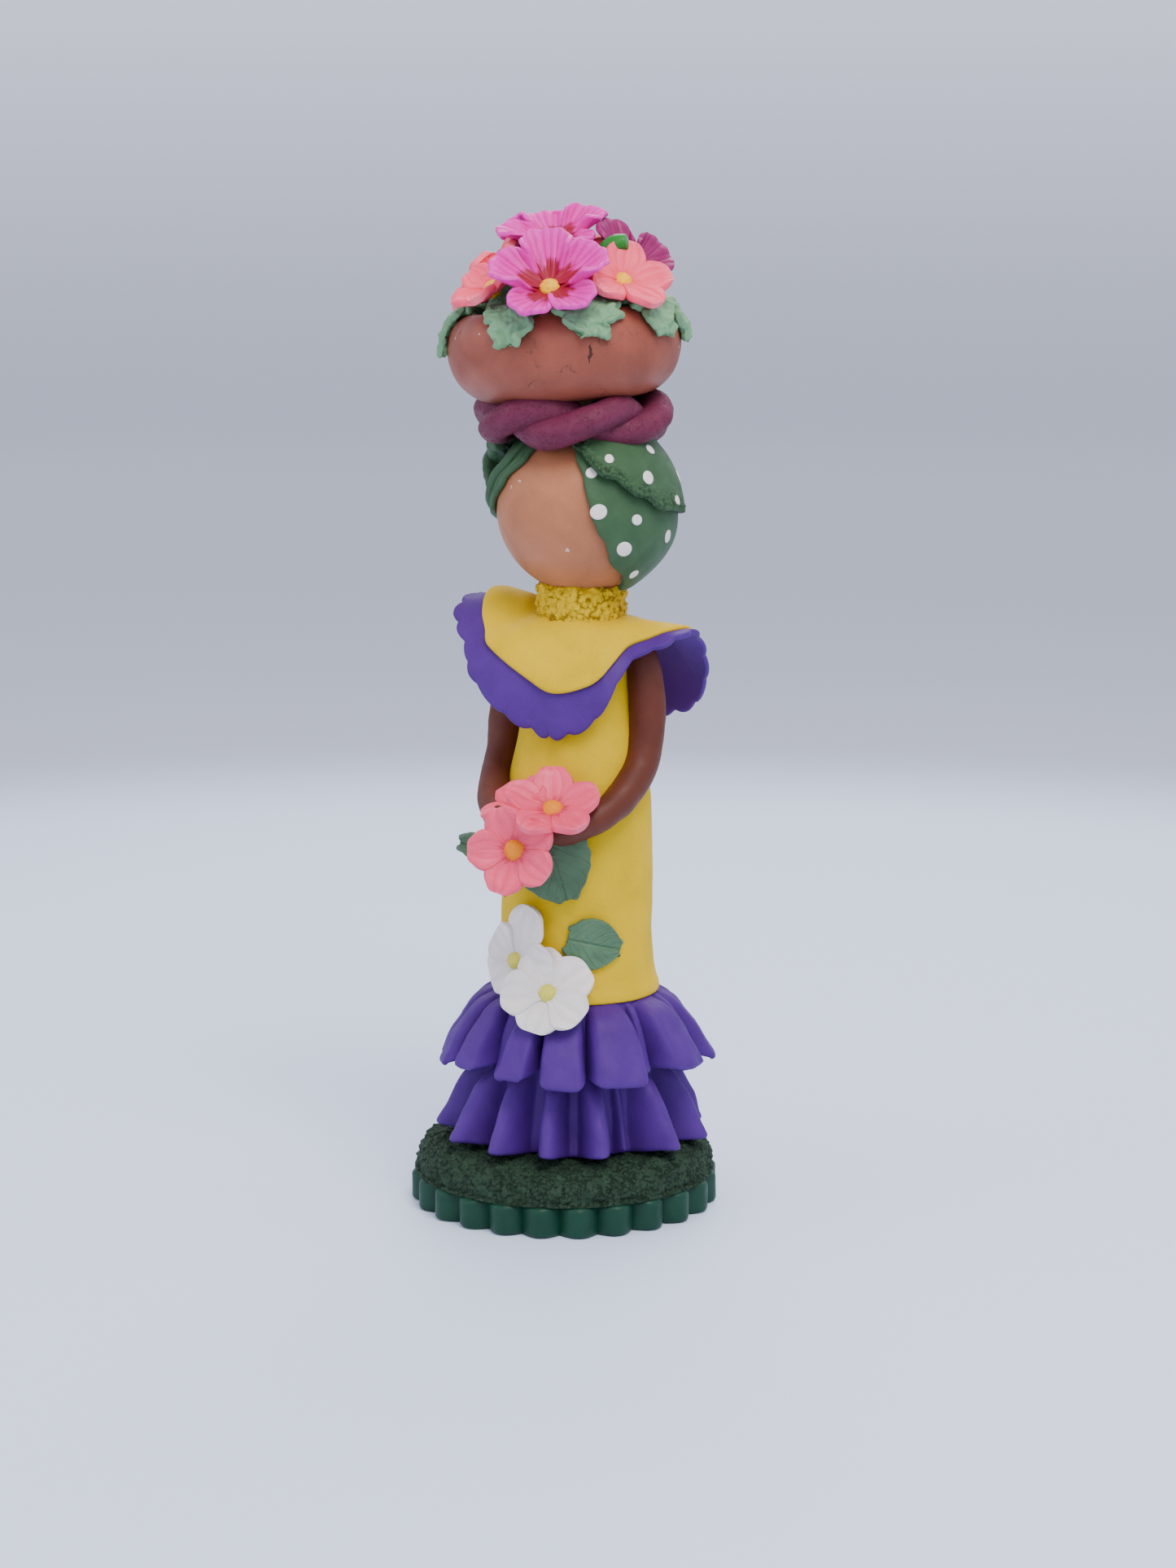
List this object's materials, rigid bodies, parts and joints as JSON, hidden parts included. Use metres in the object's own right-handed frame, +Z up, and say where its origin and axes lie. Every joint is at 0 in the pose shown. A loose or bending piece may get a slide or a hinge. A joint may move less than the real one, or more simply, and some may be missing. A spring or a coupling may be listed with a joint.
{
  "type": "clay folk doll",
  "caption": "Faceless hand-made clay doll of a woman in a yellow dress with purple ruffles, holding a posy and carrying a bowl of flowers on her head, on a fluted green base.",
  "frame": {"origin": "centre of the base's flat underside", "axes": "+Z up along the figure, -Y the figure's front, +X the figure's left"},
  "size_m": [0.055, 0.055, 0.1767],
  "materials": {
    "base_clay": "deep green sculpted clay, satin",
    "grass_clay": "rough crumbled green clay",
    "wood": "plain birch",
    "core_clay": "plain dull clay",
    "yellow_clay": "bright yellow clay, satin, faint handling marks",
    "purple_clay": "violet clay, satin",
    "brown_clay": "brown clay, satin",
    "tan_clay": "tan clay, satin, faint specks",
    "scarf_clay": "soft green clay, matt, crumbly edges",
    "dot_paint": "white dots",
    "plum_clay": "plum clay, satin",
    "terracotta_clay": "reddish brown clay, fine cracks and pits",
    "magenta_clay": "magenta clay petals, crimson at the heart, veined",
    "pink_clay": "pink clay petals, paler tips",
    "button_clay": "yellow clay, dimpled",
    "leaf_clay": "grey-green clay, veined, ragged edges",
    "bud_clay": "bright green clay, smooth",
    "white_clay": "white clay petals"
  },
  "bodies": {
    "root": {"fluted_base": "base_clay", "grass_pad": "grass_clay", "core_rod": "wood", "body_core": "core_clay", "dress": "yellow_clay", "lower_ruffle": "purple_clay", "upper_ruffle": "purple_clay", "neck": "brown_clay", "neck_band": "yellow_clay", "cape_ruffle": "purple_clay", "cape_collar": "yellow_clay", "right_arm": "brown_clay", "left_arm": "brown_clay", "head": "tan_clay", "scarf_wrap": "scarf_clay", "scarf_fold": "scarf_clay", "scarf_knot": "scarf_clay", "scarf_dots": "dot_paint", "ring_strand_a": "plum_clay", "ring_strand_b": "plum_clay", "bowl": "terracotta_clay", "flower_bed": "leaf_clay", "magenta_flower_front": "magenta_clay", "magenta_flower_top": "magenta_clay", "magenta_flower_right": "magenta_clay", "magenta_flower_back": "magenta_clay", "magenta_centres": "button_clay", "pink_flower_right": "pink_clay", "pink_flower_left": "pink_clay", "pink_flower_side": "pink_clay", "pink_flower_back": "pink_clay", "pink_flower_rear": "pink_clay", "pink_centres": "button_clay", "bud": "bud_clay", "rim_leaf_1": "leaf_clay", "rim_leaf_2": "leaf_clay", "rim_leaf_3": "leaf_clay", "rim_leaf_4": "leaf_clay", "rim_leaf_5": "leaf_clay", "rim_leaf_6": "leaf_clay", "rim_leaf_7": "leaf_clay", "rim_leaf_8": "leaf_clay", "posy_hub": "leaf_clay", "posy_flower_top": "pink_clay", "posy_flower_front": "pink_clay", "posy_flower_left": "pink_clay", "posy_centres": "button_clay", "posy_leaf_right": "leaf_clay", "posy_leaf_left": "leaf_clay", "posy_leaf_lower": "leaf_clay", "white_flower_left": "white_clay", "white_flower_right": "white_clay", "white_centres": "button_clay", "dress_leaf": "leaf_clay"}
  },
  "joints": []
}
